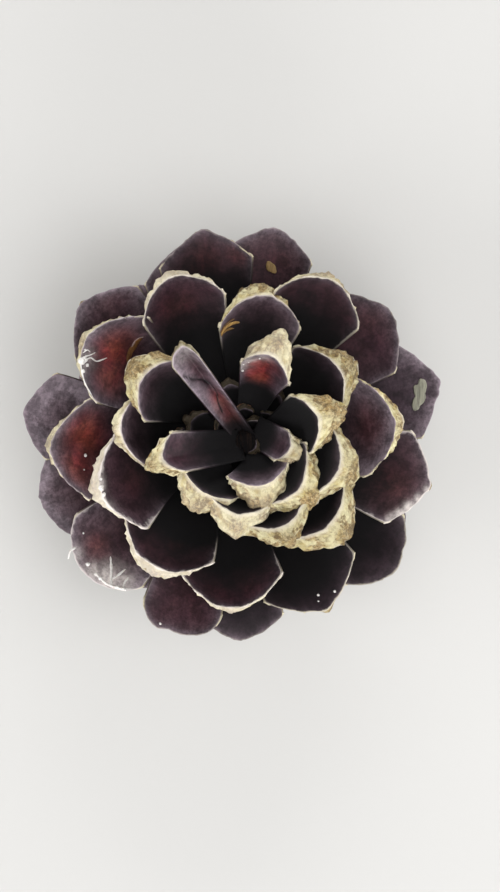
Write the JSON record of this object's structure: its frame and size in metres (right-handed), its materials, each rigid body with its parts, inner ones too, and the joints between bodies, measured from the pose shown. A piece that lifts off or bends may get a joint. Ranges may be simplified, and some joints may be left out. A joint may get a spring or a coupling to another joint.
{
  "type": "pine cone",
  "caption": "Ripe open pine cone standing on its base, its woody scales set in a spiral round one axis and spread wide, with thick pale ends.",
  "frame": {"origin": "centre of the stalk scar under the cone, where its axis meets the ground", "axes": "+Z along the axis from the stalk scar to the tip, +Y towards the top of the picture, +X towards its right side"},
  "size_m": [0.0674, 0.0674, 0.0556],
  "materials": {
    "cone_wood": "dry matt wood"
  },
  "bodies": {
    "root": {"cone": "cone_wood"}
  },
  "joints": []
}
